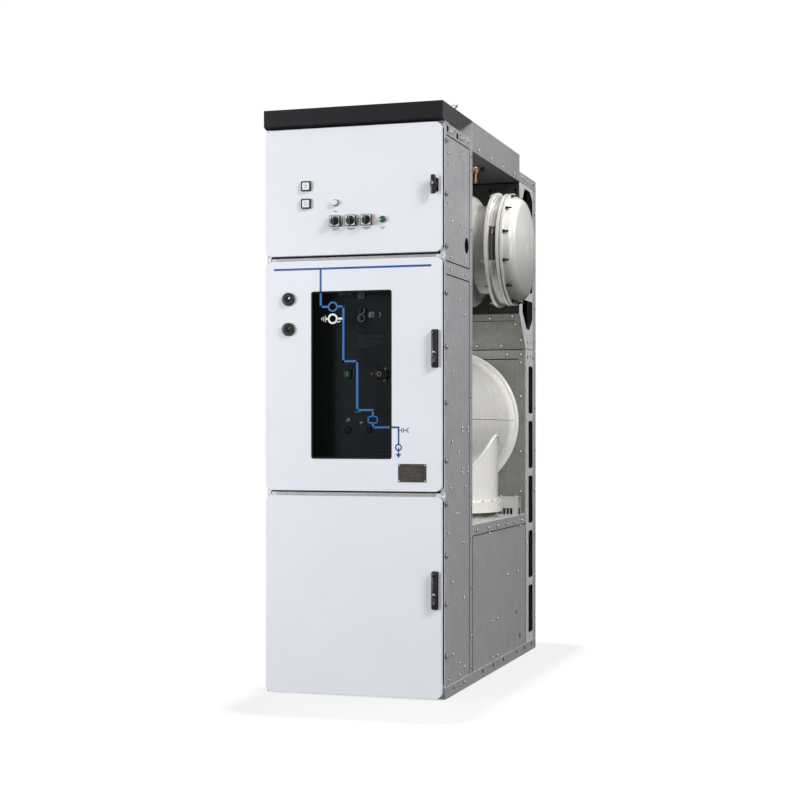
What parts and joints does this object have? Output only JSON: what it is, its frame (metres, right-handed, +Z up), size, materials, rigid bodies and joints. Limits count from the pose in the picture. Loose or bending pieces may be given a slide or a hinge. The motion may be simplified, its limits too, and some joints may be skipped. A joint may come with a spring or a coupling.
{
  "type": "air-insulated switchgear panel",
  "caption": "Free-standing medium-voltage switchgear cubicle with hinged front doors, open sides showing painted busbar and breaker vessels, and a rear relief channel.",
  "frame": {"origin": "on the floor, at the middle of the four anchor holes, which is the middle of the cubicle's footprint", "axes": "+Z up, -Y towards the front doors, +X towards the viewer's right when facing the doors"},
  "size_m": [1.096, 1.8044, 2.522],
  "materials": {
    "galvanised_sheet": "spangled, satin",
    "white_paint": "powder coat, satin",
    "black_paint": "gloss",
    "vessel_paint": "gloss enamel",
    "bare_metal": "polished",
    "zinc_rod": "zinc plated",
    "dark_panel": "satin",
    "instrument_steel": "galvanised",
    "copper_pipe": "plain copper",
    "hinge_steel": "zinc plated",
    "window_glass": "clear, slightly tinted",
    "black_plastic": "satin",
    "white_plastic": "gloss",
    "green_plastic": "gloss"
  },
  "bodies": {
    "cabinet": {"base_frame": "galvanised_sheet", "floor_plate": "galvanised_sheet", "corner_posts": "galvanised_sheet", "front_rails": "galvanised_sheet", "side_panels": "galvanised_sheet", "side_bands": "galvanised_sheet", "back_wall": "galvanised_sheet", "compartment_floors": "galvanised_sheet", "roof_plates": "galvanised_sheet", "top_duct": "galvanised_sheet", "deck_plate": "galvanised_sheet", "upper_rear_wall": "galvanised_sheet", "lower_rear_wall": "galvanised_sheet", "rear_columns": "galvanised_sheet", "rear_covers": "galvanised_sheet", "support_beams": "galvanised_sheet", "fascia": "black_paint", "busbar_vessel": "vessel_paint", "busbar_covers": "vessel_paint", "breaker_vessel": "vessel_paint", "connecting_neck": "vessel_paint", "cable_neck": "vessel_paint", "clamp_bands": "bare_metal", "seal_ring": "bare_metal", "lifting_eyes": "zinc_rod", "mechanism_panel": "dark_panel", "instrument_plate": "instrument_steel", "gas_fitting": "copper_pipe", "hinge_arms": "hinge_steel"},
    "upper_door": {"upper_door": "white_paint", "door_switches": "black_plastic", "latch_base": "black_plastic"},
    "middle_door": {"middle_door": "white_paint", "window_pane": "window_glass", "inspection_ports": "black_plastic", "middle_handle_base": "black_plastic"},
    "lower_door": {"lower_door": "white_paint", "lower_handle_base": "black_plastic"},
    "upper_latch": {"latch_lever": "black_plastic"},
    "middle_handle": {"middle_handle_lever": "black_plastic"},
    "lower_handle": {"lower_handle_lever": "black_plastic"},
    "left_switch": {"left_selector": "black_plastic"},
    "middle_switch": {"middle_selector": "black_plastic"},
    "right_switch": {"right_selector": "black_plastic"},
    "white_push": {"white_button": "white_plastic"},
    "green_push": {"green_button": "green_plastic"}
  },
  "joints": [
    {"name": "lower_door_swing", "type": "hinge", "parent": "cabinet", "child": "lower_door", "pos_m": [-0.388, -0.89, 0.4265], "axis": [0, 0, -1], "range_deg": [0, 110]},
    {"name": "middle_door_swing", "type": "hinge", "parent": "cabinet", "child": "middle_door", "pos_m": [-0.388, -0.89, 1.362], "axis": [0, 0, -1], "range_deg": [0, 110]},
    {"name": "upper_door_swing", "type": "hinge", "parent": "cabinet", "child": "upper_door", "pos_m": [-0.388, -0.89, 2.1465], "axis": [0, 0, -1], "range_deg": [0, 110]},
    {"name": "upper_latch_turn", "type": "hinge", "parent": "upper_door", "child": "upper_latch", "pos_m": [0.363, -0.91, 2.153], "axis": [0, 1, 0], "range_deg": [0, 90]},
    {"name": "middle_handle_turn", "type": "hinge", "parent": "middle_door", "child": "middle_handle", "pos_m": [0.363, -0.91, 1.536], "axis": [0, 1, 0], "range_deg": [0, 90]},
    {"name": "lower_handle_turn", "type": "hinge", "parent": "lower_door", "child": "lower_handle", "pos_m": [0.363, -0.91, 0.525], "axis": [0, 1, 0], "range_deg": [0, 90]},
    {"name": "left_switch_turn", "type": "hinge", "parent": "upper_door", "child": "left_switch", "pos_m": [-0.078, -0.91, 2.018], "axis": [0, 1, 0], "range_deg": [-45, 45]},
    {"name": "middle_switch_turn", "type": "hinge", "parent": "upper_door", "child": "middle_switch", "pos_m": [-0.0075, -0.91, 2.018], "axis": [0, 1, 0], "range_deg": [-45, 45]},
    {"name": "right_switch_turn", "type": "hinge", "parent": "upper_door", "child": "right_switch", "pos_m": [0.063, -0.91, 2.018], "axis": [0, 1, 0], "range_deg": [-45, 45]},
    {"name": "white_button_press", "type": "slide", "parent": "upper_door", "child": "white_push", "axis": [0, 1, 0], "range_m": [0, 0.004], "stiffness_N_per_m": 300},
    {"name": "green_button_press", "type": "slide", "parent": "upper_door", "child": "green_push", "axis": [0, 1, 0], "range_m": [0, 0.004], "stiffness_N_per_m": 300}
  ]
}
